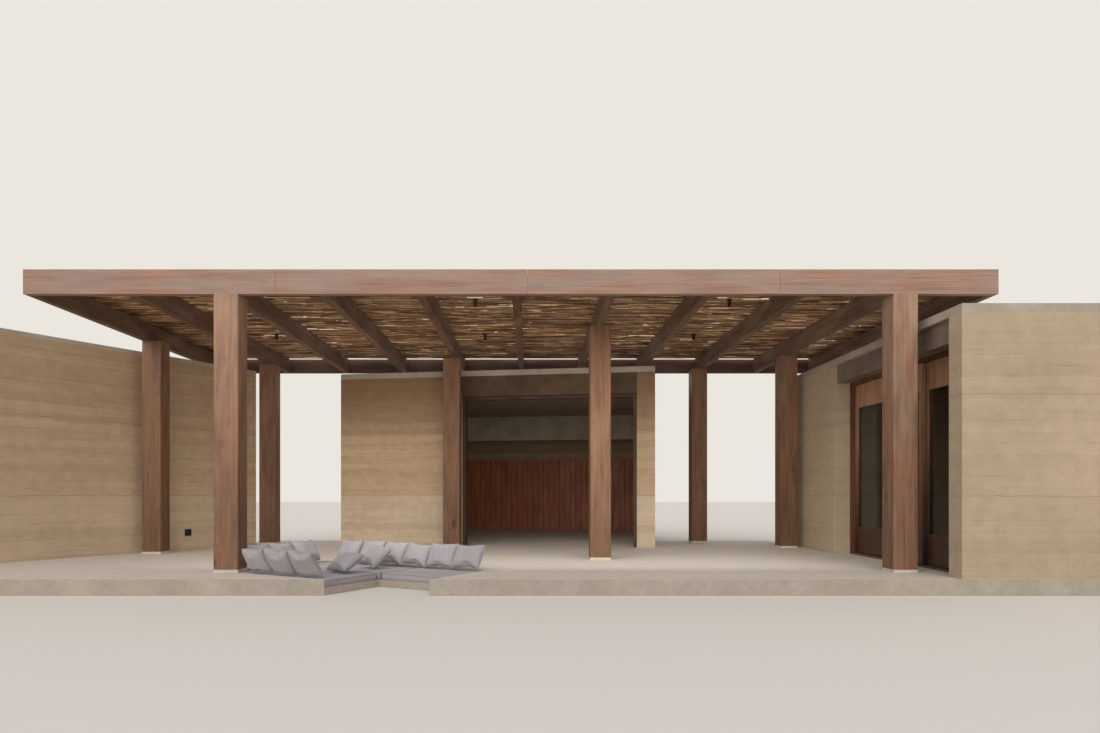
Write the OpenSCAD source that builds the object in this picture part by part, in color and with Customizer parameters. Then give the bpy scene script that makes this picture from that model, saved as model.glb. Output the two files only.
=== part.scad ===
// Rammed earth house around a raised terrace, under a timber and cane pergola.
// Millimetres, +Z up, ground level at Z = 0, the garden side faces -Y.
// Plan sizes are laid out from the pergola's left front corner, and the whole
// house is then centred on the origin.

/* [Terrace] */
// Height of the terrace above the ground
terrace_h = 180; // [120:5:260]
// How far the terrace reaches in front of the pergola
terrace_front = 700; // [400:10:1200]
// How far the terrace reaches behind the pergola's front face
terrace_rear = 6060; // [5900:10:7600]

/* [Pergola] */
// Width of the pergola over its edge beams
pergola_w = 11900; // [11600:10:14300]
// Depth of the pergola from fascia to rear beam
pergola_d = 5960; // [5800:10:7200]
// Clear height from the terrace to the underside of the beams
pergola_clear = 3400; // [3320:10:4100]
// Depth of the fascia and the edge beams
beam_h = 300; // [290:5:360]
// Thickness of the beams and rafters
beam_t = 100; // [60:5:120]
// Depth of the rafters, which carry the cane inside the frame, and of the rear beam
rafter_h = 270; // [200:5:270]
// Number of rafters
rafter_count = 9; // [9:1:9]
// Distance between rafter centres
rafter_pitch = 1180; // [1000:10:1200]
// Centre of the first rafter from the pergola's left face
first_rafter = 1293; // [1000:10:1400]
// Side of the square posts
post_side = 300; // [240:5:320]
// Chamfer on the posts' long edges
post_chamfer = 8; // [4:1:20]
// Thickness of the pad under each post
pad_h = 35; // [20:5:60]
// Length of the fascia boards between butt joints
fascia_board = 3080; // [2400:10:4000]
// Open butt joint between two fascia boards
butt_gap = 3; // [2:1:6]

/* [Cane screen] */
// Diameter of one cane
cane_d = 28; // [18:1:30]
// Distance between cane centres
cane_pitch = 34; // [31:1:80]
// Clear strip between the last cane and the rear beam
cane_slit = 60; // [20:5:120]

/* [Spotlights] */
// Diameter of a spotlight body
spot_d = 52; // [40:1:80]
// Length of a spotlight body
spot_h = 90; // [60:5:140]
// Depth of the lamp behind a spotlight's rim
lamp_recess = 12; // [6:1:24]

/* [Garden wall] */
// Angle between the garden wall and the pergola's side, in degrees
garden_angle = 31.2; // [20:0.2:36]
// Height of the garden wall above the terrace, with its coping
garden_h = 3270; // [2400:10:3290]
// Thickness of the garden wall
garden_t = 300; // [250:10:400]
// Thickness of the coping
coping_h = 60; // [40:5:100]

/* [Living room] */
// Width of the living room block
living_w = 5870; // [5700:10:6300]
// Depth of the living room block
living_d = 6900; // [5000:10:8000]
// Height of the living room block above the terrace
living_h = 3220; // [3120:10:3300]
// Turn of the living room block against the pergola, in degrees
living_angle = 9.2; // [4:0.2:10]
// Thickness of the living room walls
living_t = 300; // [250:10:400]
// Left edge of the garden opening from the block's left corner
living_opening_x = 2350; // [1800:10:2400]
// Width of the garden opening
living_opening_w = 3200; // [2400:10:3250]
// Height of the garden opening
opening_h = 2750; // [2300:10:2800]
// Thickness of the roof edge
roof_edge_h = 100; // [80:5:200]
// Thickness of the roof slab below its edge
roof_slab_h = 120; // [100:5:200]
// Width of the raised rim round a roof
rim_w = 160; // [120:10:240]
// Height of the raised rim round a roof
rim_h = 40; // [20:5:60]
// Height of the board panelling at the back of the room
panelling_h = 1850; // [1200:10:2000]
// Height of the inner beam's underside above the floor
inner_beam_z = 2370; // [2100:10:2500]
// Depth of the niche behind the panelling
niche_d = 450; // [300:10:800]

/* [Side room] */
// Width of the side room
side_w = 4000; // [3000:10:5000]
// Left face of the side room from the pergola's left face
side_x = 11048; // [11010:2:11200]
// Rear face of the side room behind the pergola's front face
side_rear = 5300; // [4600:10:6000]
// Height of the side room above the terrace
side_h = 3110; // [3050:10:3290]
// Thickness of the side room walls
side_t = 260; // [240:10:360]
// Width of the side room's doorway between the walls
doorway_w = 3230; // [2600:10:3900]
// Height of the side room's doorway
doorway_h = 2730; // [2300:10:2800]
// Setback of the doorway's lintel from the wall face
lintel_setback = 60; // [20:5:100]

/* [Sliding doors] */
// Thickness of a door leaf
leaf_t = 45; // [36:1:60]
// Overlap of two closed leaves
leaf_overlap = 50; // [30:5:80]
// Width of a leaf's stiles
stile_w = 90; // [60:5:120]
// Height of a leaf's top panel
top_panel_h = 360; // [200:10:500]
// Height of a leaf's bottom panel
bottom_panel_h = 400; // [200:10:600]
// Width of the rails round a leaf's panels
rail_w = 70; // [50:5:90]
// Depth of the panels behind the stiles and rails
panel_recess = 9; // [4:1:14]
// Thickness of the glass
glass_t = 12; // [6:1:24]
// Width of the door frame's members
frame_w = 50; // [40:5:80]
// Height of the floor track
track_h = 30; // [20:5:50]
// Running gap round a moving leaf
leaf_gap = 6; // [5:1:12]

/* [Seating pit] */
// Length of the pit's back edge
pit_w = 2700; // [2400:10:2900]
// Depth of the pit
pit_d = 1660; // [1500:10:1700]
// Turn of the pit against the terrace, in degrees
pit_angle = 30; // [20:1:32]
// Height of the concrete bench above the ground
bench_h = 80; // [60:5:120]
// Depth of the back seat
seat_d = 750; // [600:10:800]
// Width of the left seat
left_seat_w = 1668; // [1400:10:1750]
// Thickness of the seat pads
seat_pad_h = 90; // [60:5:120]
// Gap between two seat pads
seat_pad_gap = 8; // [4:1:20]
// Width of a loose cushion
cushion_w = 390; // [300:10:400]
// Height of a loose cushion
cushion_h = 320; // [240:10:390]
// Thickness of a loose cushion
cushion_t = 120; // [80:5:160]

/* [Hidden] */

concrete = "#b5ab9c";
earth = "#b39a76";
pale_earth = "#cdb893";
timber = "#8e6450";
dark_timber = "#54301f";
cane = "#9c7a52";
cloth = "#97959c";
glass = "#7f8c90";
glass_alpha = 0.35;
black = "#1d1a18";

// How far a cut reaches past the face that it opens, and how finely small rounds are drawn
cut = 1;
fine = 48;

// Heights above the ground
beam_z = terrace_h + pergola_clear;
cane_z = beam_z + rafter_h;
opening_top = terrace_h + opening_h;
doorway_top = terrace_h + doorway_h;

// Posts: the middle of each front face in plan, under the rafter that it carries
left_rear_post = [rafter_x(0) - 73, 4900];
POSTS = [
    [rafter_x(1), 0],
    [rafter_x(8) + 38, 0],
    [post_side / 2, 2740],
    left_rear_post,
    [rafter_x(3) - 62, 4240],
    [rafter_x(5) + 18, 1700],
    [rafter_x(7) - 60, 5360],
    [rafter_x(8) + 26, 4000]
];
// Bays that hold spotlights, counted from the first rafter, and their rows
SPOT_BAYS = [0, 3, 6];
SPOT_ROWS = [1270, 3500];
spot_rose_d = 84;
spot_rose_h = 6;
spot_wall = 4;
// Half the height of a hexagonal cane across its flats
cane_half = cane_d * cos(30) / 2;
// Least gap between the first cane and the fascia
cane_clear = 1;

// Garden wall: the end of its inner face stands beside the left rear post
garden_end_gap = 50;
garden_end_step = 20;
garden_end = left_rear_post - [post_side / 2 + garden_end_gap, garden_end_step];
garden_len = (garden_end[1] + terrace_front) / cos(garden_angle);
garden_back = [-cos(garden_angle), sin(garden_angle)] * garden_t;
garden_start = garden_end - [sin(garden_angle), cos(garden_angle)] * garden_len;
garden_bed = 0.3;
garden_foot_z = terrace_h + garden_bed;
socket_side = 115;
socket_t = 14;
socket_rim = 16;
socket_well = 8;
socket_z = 235;
socket_from_end = 1460;

// Living room block: its left front corner in plan
living_corner = [2602, 4953];
living_top = terrace_h + living_h - roof_edge_h;
liner_t = 60;
liner_d = 120;
panelling_t = 60;
inner_beam_t = 220;
living_rear_y = living_d - living_t;
panelling_y = living_rear_y - niche_d - panelling_t;

// Side room
side_front = -terrace_front + 10;
side_d = side_rear - side_front;
side_top = terrace_h + side_h - roof_edge_h;
doorway_y = side_front + side_t;
doorway_end = doorway_y + doorway_w;

// Doors: two tracks behind the wall, the middle leaf on the outer one
frame_x = side_x + side_t;
track_gap = 10;
frame_d = 2 * leaf_t + 3 * track_gap;
outer_track_x = frame_x + track_gap;
inner_track_x = outer_track_x + leaf_t + track_gap;
run_y = doorway_y + frame_w + leaf_gap;
run_w = doorway_w - 2 * (frame_w + leaf_gap);
leaf_w = (run_w + 2 * leaf_overlap) / 3;
leaf_pitch = leaf_w - leaf_overlap;
leaf_z = terrace_h + track_h + leaf_gap;
leaf_h = doorway_top - frame_w - leaf_gap - leaf_z;
pane_w = leaf_w - 2 * stile_w;
pane_h = leaf_h - top_panel_h - bottom_panel_h;
roller_d = 24;
roller_w = 12;
roller_gap = 0.3;
// Rollers under a leaf, as shares of its width
ROLLERS_AT = [0.2, 0.8];

// Seating pit: its rear corner in plan, and its cushions
pit_corner = [3254, 1574];
pad_inset = seat_pad_gap / 2;
soft_gap = 0.3;
cushion_lean = 30;
cushion_side_gap = 12;
cushion_pitch = cushion_w + cushion_side_gap;
back_row = 6;
left_row = 3;
near_row = 3;
// First cushion of the near row from the pit's left edge
near_first = 350;
seat_top = bench_h + seat_pad_h;
// A leaning cushion stands this far in front of the edge, so that its back clears it
cushion_clear = 40;
cushion_foot = pad_inset + soft_gap + cushion_clear
    + max(0, terrace_h - seat_top) * tan(cushion_lean);
// The left row starts past the back row's feet
row_gap = 20;
left_first = cushion_foot + cushion_t + row_gap;
// Cushions thrown on the seat: the middle of each one's foot from the pit's corner, turn and lean
THROWN = [[1290, 490, 24, 42], [1330, 1130, 12, 60]];

// The house in plan, for centring it on the origin
left_end = garden_start[0] + garden_back[0];
right_end = side_x + side_w;
rear_end = living_corner[1] + living_d * cos(living_angle);
centre = [(left_end + right_end) / 2, (rear_end - terrace_front) / 2];

function rafter_x(i) = first_rafter + i * rafter_pitch;

// Places what is laid out in plan
module placed() {
    translate([-centre[0], -centre[1], 0]) children();
}

// Places what is laid out from the living room's left front corner
module in_living() {
    placed() translate([living_corner[0], living_corner[1], 0]) rotate([0, 0, -living_angle])
        children();
}

// Places what is laid out from the garden wall's rear end, along its inner face
module along_garden_wall() {
    placed() translate([garden_end[0], garden_end[1], 0]) rotate([0, 0, -garden_angle])
        children();
}

// Places what is laid out from the pit's rear corner: X along the back, Y to the front
module in_pit() {
    placed() translate([pit_corner[0], pit_corner[1], 0]) rotate([0, 0, -pit_angle])
        mirror([0, 1, 0]) children();
}

module block(x, y, z, w, d, h) {
    translate([x, y, z]) cube([w, d, h]);
}

// Outline of the terrace with the garden wall's footprint
module terrace_outline() {
    rear_outer = garden_end + garden_back;
    polygon([
        garden_start, garden_start + garden_back, rear_outer, [rear_outer[0], terrace_rear],
        [side_x, terrace_rear], [side_x, -terrace_front]
    ]);
}

module terrace() color(concrete) difference() {
    placed() linear_extrude(terrace_h) terrace_outline();
    in_living() block(0, 0, -cut, living_w, living_d, terrace_h + 2 * cut);
    in_pit() block(0, 0, -cut, pit_w, pit_d, terrace_h + 2 * cut);
}

module pit_bench() color(concrete) intersection() {
    in_pit() linear_extrude(bench_h) polygon([
        [0, 0], [pit_w, 0], [pit_w, seat_d], [left_seat_w, seat_d], [left_seat_w, pit_d], [0, pit_d]
    ]);
    placed() linear_extrude(bench_h) terrace_outline();
}

module seat_pad(x, y, w, d) {
    block(x + pad_inset, y + pad_inset, bench_h, w - 2 * pad_inset, d - 2 * pad_inset, seat_pad_h);
}

module pit_seat_pads() color(cloth) in_pit() {
    half = left_seat_w / 2;
    seat_pad(0, 0, half, seat_d);
    seat_pad(half, 0, half, seat_d);
    seat_pad(left_seat_w, 0, pit_w - left_seat_w, seat_d);
    seat_pad(0, seat_d, half, pit_d - seat_d);
    seat_pad(half, seat_d, half, pit_d - seat_d);
}

module cushion(lean) {
    rotate([lean, 0, 0]) cube([cushion_w, cushion_t, cushion_h]);
}

// Cushions in a row on the seat, leaning out over the pit's edge at Y = 0
module cushion_row(count, first) {
    for (i = [0 : count - 1])
        translate([first + i * cushion_pitch, cushion_foot, seat_top + soft_gap])
            cushion(cushion_lean);
}

module pit_cushions() color(cloth) in_pit() {
    cushion_row(back_row, pit_w - back_row * cushion_pitch);
    mirror([1, -1, 0]) cushion_row(left_row, left_first);
    translate([0, pit_d, 0]) mirror([0, 1, 0]) cushion_row(near_row, near_first);
    for (c = THROWN) translate([c[0], c[1], seat_top + soft_gap]) rotate([0, 0, c[2]])
        translate([-cushion_w / 2, 0, 0]) cushion(c[3]);
}

module garden_wall() color(earth) along_garden_wall()
    block(-garden_t, -garden_len, garden_foot_z, garden_t, garden_len,
        garden_h - coping_h - garden_bed);

module garden_wall_coping() color(concrete) along_garden_wall()
    block(-garden_t, -garden_len, terrace_h + garden_h - coping_h, garden_t, garden_len, coping_h);

module wall_socket() color(black) along_garden_wall()
    translate([0, -socket_from_end, terrace_h + socket_z]) difference() {
        cube([socket_t, socket_side, socket_side]);
        translate([socket_t - socket_well, socket_rim, socket_rim])
            cube([socket_well + cut, socket_side - 2 * socket_rim, socket_side - 2 * socket_rim]);
    }

module living_floor() color(concrete) in_living() block(0, 0, 0, living_w, living_d, terrace_h);

module living_front_wall() color(earth) in_living()
    block(0, 0, terrace_h, living_opening_x, living_t, living_top - terrace_h);

module living_front_pier() color(earth) in_living() {
    pier_x = living_opening_x + living_opening_w;
    block(pier_x, 0, terrace_h, living_w - pier_x, living_t, living_top - terrace_h);
}

module living_lintel() color(concrete) in_living()
    block(living_opening_x, 0, opening_top, living_opening_w, living_t, living_top - opening_top);

module living_side(x) {
    block(x, living_t, terrace_h, living_t, living_rear_y - living_t, living_top - terrace_h);
}

module living_left_wall() color(earth) in_living() living_side(0);
module living_right_wall() color(earth) in_living() living_side(living_w - living_t);

module living_rear_wall() color(earth) in_living()
    block(0, living_rear_y, terrace_h, living_w, living_t, living_top - terrace_h);

// Flat roof: a slab between the walls, an edge on them and a raised rim
module roof(w, d, t, top) {
    difference() {
        union() {
            block(0, 0, top, w, d, roof_edge_h);
            block(t, t, top - roof_slab_h, w - 2 * t, d - 2 * t, roof_slab_h + cut);
        }
        block(rim_w, rim_w, top + roof_edge_h - rim_h, w - 2 * rim_w, d - 2 * rim_w, rim_h + cut);
    }
}

module living_roof() color(concrete) in_living() roof(living_w, living_d, living_t, living_top);

module living_opening_frame() color(dark_timber) in_living() {
    frame_y = (living_t - liner_d) / 2;
    difference() {
        block(living_opening_x, frame_y, terrace_h, living_opening_w, liner_d, opening_h);
        block(living_opening_x + liner_t, frame_y - cut, terrace_h - cut,
            living_opening_w - 2 * liner_t, liner_d + 2 * cut, opening_h - liner_t + cut);
    }
}

module living_inner_beam() color(concrete) in_living()
    block(living_t, panelling_y, terrace_h + inner_beam_z, living_w - 2 * living_t, inner_beam_t,
        living_top - roof_slab_h - terrace_h - inner_beam_z);

module living_panelling() color(dark_timber) in_living()
    block(living_t, panelling_y, terrace_h, living_w - 2 * living_t, panelling_t, panelling_h);

module side_room_floor() color(concrete) placed()
    block(side_x, -terrace_front, 0, side_w, side_rear + terrace_front, terrace_h);

module side_wall_block(x, y, w, d) {
    placed() block(x, y, terrace_h, w, d, side_top - terrace_h);
}

module side_room_front_wall() color(pale_earth) side_wall_block(side_x, side_front, side_w, side_t);

module side_room_side_wall() color(pale_earth)
    side_wall_block(side_x, doorway_end, side_t, side_rear - side_t - doorway_end);

module side_room_rear_wall() color(pale_earth)
    side_wall_block(side_x, side_rear - side_t, side_w, side_t);

module side_room_outer_wall() color(pale_earth)
    side_wall_block(side_x + side_w - side_t, doorway_y, side_t, side_d - 2 * side_t);

module side_room_lintel() color(concrete) placed()
    block(side_x + lintel_setback, doorway_y, doorway_top, side_t - lintel_setback, doorway_w,
        side_top - doorway_top);

module side_room_roof() color(concrete) placed() translate([side_x, side_front, 0])
    roof(side_w, side_d, side_t, side_top);

module door_frame() color(dark_timber) placed() difference() {
    block(frame_x, doorway_y, terrace_h, frame_d, doorway_w, side_top - roof_slab_h - terrace_h);
    block(frame_x - cut, doorway_y + frame_w, terrace_h + track_h, frame_d + 2 * cut,
        doorway_w - 2 * frame_w, doorway_h - track_h - frame_w);
}

// A panel's recess on both faces of a leaf, inside its stiles and rails
module panel_recesses(x, y, z, h) {
    for (face = [x - cut, x + leaf_t - panel_recess])
        block(face, y + stile_w, z + rail_w, panel_recess + cut, pane_w, h - 2 * rail_w);
}

// A sliding leaf with a top panel, a bottom panel and a tall pane between stiles
module leaf(x, slot) {
    y = run_y + slot * leaf_pitch;
    placed() {
        difference() {
            block(x, y, leaf_z, leaf_t, leaf_w, leaf_h);
            block(x - cut, y + stile_w, leaf_z + bottom_panel_h, leaf_t + 2 * cut, pane_w, pane_h);
            panel_recesses(x, y, leaf_z, bottom_panel_h);
            panel_recesses(x, y, leaf_z + leaf_h - top_panel_h, top_panel_h);
        }
        for (share = ROLLERS_AT) translate([
            x + (leaf_t - roller_w) / 2, y + share * leaf_w,
            terrace_h + track_h + roller_gap + roller_d / 2
        ]) rotate([0, 90, 0]) cylinder(d = roller_d, h = roller_w, $fn = fine);
    }
}

module leaf_glass(x, slot) {
    y = run_y + slot * leaf_pitch + stile_w;
    placed() block(x + (leaf_t - glass_t) / 2, y, leaf_z + bottom_panel_h, glass_t, pane_w, pane_h);
}

module front_leaf() color(dark_timber) leaf(inner_track_x, 0);
module middle_leaf() color(dark_timber) leaf(outer_track_x, 1);
module rear_leaf() color(dark_timber) leaf(inner_track_x, 2);
module front_leaf_glass() color(glass, glass_alpha) leaf_glass(inner_track_x, 0);
module middle_leaf_glass() color(glass, glass_alpha) leaf_glass(outer_track_x, 1);
module rear_leaf_glass() color(glass, glass_alpha) leaf_glass(inner_track_x, 2);

// Section of a post with its four long edges chamfered, from the middle of its front face
module post_section() {
    half = post_side / 2;
    c = post_chamfer;
    polygon([
        [-half + c, 0], [half - c, 0], [half, c], [half, post_side - c],
        [half - c, post_side], [-half + c, post_side], [-half, post_side - c], [-half, c]
    ]);
}

module post(i) {
    placed() translate([POSTS[i][0], POSTS[i][1], terrace_h + pad_h])
        linear_extrude(pergola_clear - pad_h) post_section();
}

module post_front_left() color(timber) post(0);
module post_front_right() color(timber) post(1);
module post_left() color(timber) post(2);
module post_left_rear() color(timber) post(3);
module post_living_room() color(timber) post(4);
module post_centre() color(timber) post(5);
module post_rear() color(timber) post(6);
module post_right_rear() color(timber) post(7);

module post_pads() color(concrete) placed() for (p = POSTS)
    block(p[0] - post_side / 2, p[1], terrace_h, post_side, post_side, pad_h);

module front_fascia() color(timber) placed() {
    boards = ceil(pergola_w / fascia_board);
    for (i = [0 : boards - 1]) {
        start = i * fascia_board;
        end = min(pergola_w, start + fascia_board - butt_gap);
        block(start, 0, beam_z, end - start, beam_t, beam_h);
    }
}

// The rear beam ends level with the rafters, so that sky shows between it and the canes
module rear_beam() color(timber) placed()
    block(0, pergola_d - beam_t, beam_z, pergola_w, beam_t, rafter_h);

module edge_beams() color(timber) placed() for (x = [0, pergola_w - beam_t])
    block(x, beam_t, beam_z, beam_t, pergola_d - 2 * beam_t, beam_h);

module rafters() color(timber) placed() for (i = [0 : rafter_count - 1])
    block(rafter_x(i) - beam_t / 2, beam_t, beam_z, beam_t, pergola_d - 2 * beam_t, rafter_h);

// Canes lie side by side on the rafters, between the edge beams
module cane_screen() color(cane) placed() {
    first = beam_t + cane_d / 2 + cane_clear;
    last = pergola_d - beam_t - cane_slit - cane_d / 2;
    count = floor((last - first) / cane_pitch);
    for (i = [0 : count]) translate([beam_t, last - i * cane_pitch, cane_z + cane_half])
        rotate([0, 90, 0]) rotate([0, 0, 30])
            cylinder(d = cane_d, h = pergola_w - 2 * beam_t, $fn = 6);
}

// A spotlight hangs from its rose, with the lamp set back behind the rim
module spotlight() {
    translate([0, 0, -spot_rose_h]) cylinder(d = spot_rose_d, h = spot_rose_h, $fn = fine);
    translate([0, 0, -spot_rose_h - spot_h]) difference() {
        cylinder(d = spot_d, h = spot_h, $fn = fine);
        translate([0, 0, -cut])
            cylinder(d = spot_d - 2 * spot_wall, h = lamp_recess + cut, $fn = fine);
    }
}

module spotlights() color(black) placed() for (bay = SPOT_BAYS, y = SPOT_ROWS)
    translate([(rafter_x(bay) + rafter_x(bay + 1)) / 2, y, cane_z]) spotlight();

terrace();
pit_bench();
pit_seat_pads();
pit_cushions();
garden_wall();
garden_wall_coping();
wall_socket();
living_floor();
living_front_wall();
living_front_pier();
living_lintel();
living_left_wall();
living_right_wall();
living_rear_wall();
living_roof();
living_opening_frame();
living_inner_beam();
living_panelling();
side_room_floor();
side_room_front_wall();
side_room_side_wall();
side_room_rear_wall();
side_room_outer_wall();
side_room_lintel();
side_room_roof();
door_frame();
front_leaf();
front_leaf_glass();
middle_leaf();
middle_leaf_glass();
rear_leaf();
rear_leaf_glass();
post_front_left();
post_front_right();
post_left();
post_left_rear();
post_living_room();
post_centre();
post_rear();
post_right_rear();
post_pads();
front_fascia();
rear_beam();
edge_beams();
rafters();
cane_screen();
spotlights();
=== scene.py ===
"""Looks of a rammed earth house with a timber and cane pergola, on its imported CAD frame."""

import logging
import math
import random
from collections.abc import Callable, Sequence
from dataclasses import dataclass, field
from enum import Enum
from functools import partial
from itertools import product

import bmesh
import bpy
import numpy as np
from mathutils import Matrix, Vector


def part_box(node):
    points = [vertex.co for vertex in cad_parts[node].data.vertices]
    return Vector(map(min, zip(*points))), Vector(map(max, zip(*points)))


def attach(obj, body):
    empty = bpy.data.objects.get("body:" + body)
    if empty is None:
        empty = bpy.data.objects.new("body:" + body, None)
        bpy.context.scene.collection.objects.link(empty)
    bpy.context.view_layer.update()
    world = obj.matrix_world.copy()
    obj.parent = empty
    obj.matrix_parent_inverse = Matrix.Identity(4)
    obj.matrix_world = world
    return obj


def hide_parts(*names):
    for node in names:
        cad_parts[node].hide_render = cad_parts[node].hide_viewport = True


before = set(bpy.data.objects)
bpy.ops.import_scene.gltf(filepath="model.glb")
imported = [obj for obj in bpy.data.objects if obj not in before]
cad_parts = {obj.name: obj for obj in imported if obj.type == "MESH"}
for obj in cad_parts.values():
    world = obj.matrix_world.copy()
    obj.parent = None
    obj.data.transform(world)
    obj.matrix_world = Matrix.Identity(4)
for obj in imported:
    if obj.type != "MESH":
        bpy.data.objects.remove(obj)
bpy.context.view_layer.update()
HOUSE = "house"
MM = 0.001
log = logging.getLogger("house")

Colour = tuple[float, float, float, float]
# What feeds an input, and what adds nodes to one material's tree
Source = bpy.types.Node | bpy.types.NodeSocket | Colour
Adder = Callable[..., bpy.types.Node]


def srgb(code: str) -> Colour:
    """Turns an sRGB hex colour into Blender's linear one.

    Args:
        code: Six hex digits, with or without a leading hash.

    Returns:
        Red, green, blue and an alpha of one, linear.
    """
    digits = code.lstrip("#")
    parts = [int(digits[i : i + 2], 16) / 255 for i in (0, 2, 4)]
    linear = [c / 12.92 if c <= 0.04045 else ((c + 0.055) / 1.055) ** 2.4 for c in parts]
    return (*linear, 1.0)


def add_node(tree: bpy.types.NodeTree, kind: str, inputs: dict | tuple = (), **settings) -> bpy.types.Node:
    """Adds a shader node with its settings and what goes into it.

    Args:
        tree: The node tree that takes the node.
        kind: The node's type name, without the leading ShaderNode.
        inputs: What goes into each input, by name or number, or in order: a value, an output or a
            node, which stands for its first output in use.
        settings: The node's own properties.

    Returns:
        The new node.
    """
    node = tree.nodes.new("ShaderNode" + kind)
    for name, value in settings.items():
        setattr(node, name, value)
    for name, value in inputs.items() if isinstance(inputs, dict) else enumerate(inputs):
        if isinstance(value, bpy.types.Node):
            value = next(output for output in value.outputs if output.enabled)
        if isinstance(value, bpy.types.NodeSocket):
            tree.links.new(value, node.inputs[name])
        else:
            node.inputs[name].default_value = value
    return node


class Run(Enum):
    """The direction in which a member's grain runs."""

    ALONG_X = 0
    ALONG_Y = 1
    UPRIGHT = 2

    def scales(self, along_mm: float, across_mm: float) -> tuple[float, float, float]:
        """Gives a pattern's scale on each axis from its real sizes.

        Args:
            along_mm: Size of the pattern along the grain.
            across_mm: Size of the pattern across the grain.

        Returns:
            Cycles per metre on X, Y and Z.
        """
        scale = [1 / (across_mm * MM)] * 3
        scale[self.value] = 1 / (along_mm * MM)
        return tuple(scale)


# A Mix node in colour mode takes its two colours here
MIX_A, MIX_B = 6, 7
# A noise texture's values lie mostly between these
NOISE = (0.3, 0.7)
# Moves a pattern aside, in cycles, so that it doesn't follow another one
ASIDE = (3.1, 1.7, 0.4)


def coated(add: Adder, ground: Source, coats: list[tuple[Source, str]],
           levels: Sequence[Source] = ()) -> Source:
    """Lays coats of colour over a ground, and makes the whole lighter and darker.

    Args:
        add: Adds a node to the material's tree.
        ground: The colour below.
        coats: How far each coat covers what is below it, and its hex colour.
        levels: Numbers round one by which the whole is multiplied.

    Returns:
        The colour.
    """
    for share, colour in coats:
        ground = add("Mix", {0: share, MIX_A: ground, MIX_B: srgb(colour)}, data_type="RGBA")
    if not levels:
        return ground
    level, *others = levels
    for other in others:
        level = add("Math", (level, other), operation="MULTIPLY")
    return add("VectorMath", (ground, level), operation="MULTIPLY")


@dataclass(frozen=True)
class Finish:
    """What every finish shares: its name, the record's slot and its gloss.

    In a finish's paint, each MapRange row gives a pattern, its values at the start and at the end,
    and what these become.
    """

    name: str
    slot: str
    roughness: float

    def material(self) -> bpy.types.Material:
        """Makes the Blender material, or gives the one that is there.

        Returns:
            The material.
        """
        made = bpy.data.materials.get(self.name)
        if made:
            return made
        made = bpy.data.materials.new(self.name)
        made.use_nodes = True
        tree = made.node_tree
        tree.nodes.clear()
        add = partial(add_node, tree)
        shader = add("BsdfPrincipled", {"Roughness": self.roughness, **self.paint(add)})
        add("OutputMaterial", {"Surface": shader})
        return made

    def paint(self, add: Adder) -> dict[str, Source | float]:
        """Adds the finish's own nodes.

        Args:
            add: Adds a node to the material's tree.

        Returns:
            What goes into the shader's inputs.
        """
        raise NotImplementedError

    def dress(self, piece: bpy.types.Object) -> None:
        """Gives a piece this finish alone.

        Args:
            piece: The mesh object.
        """
        piece.data.materials.clear()
        piece.data.materials.append(self.material())


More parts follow.
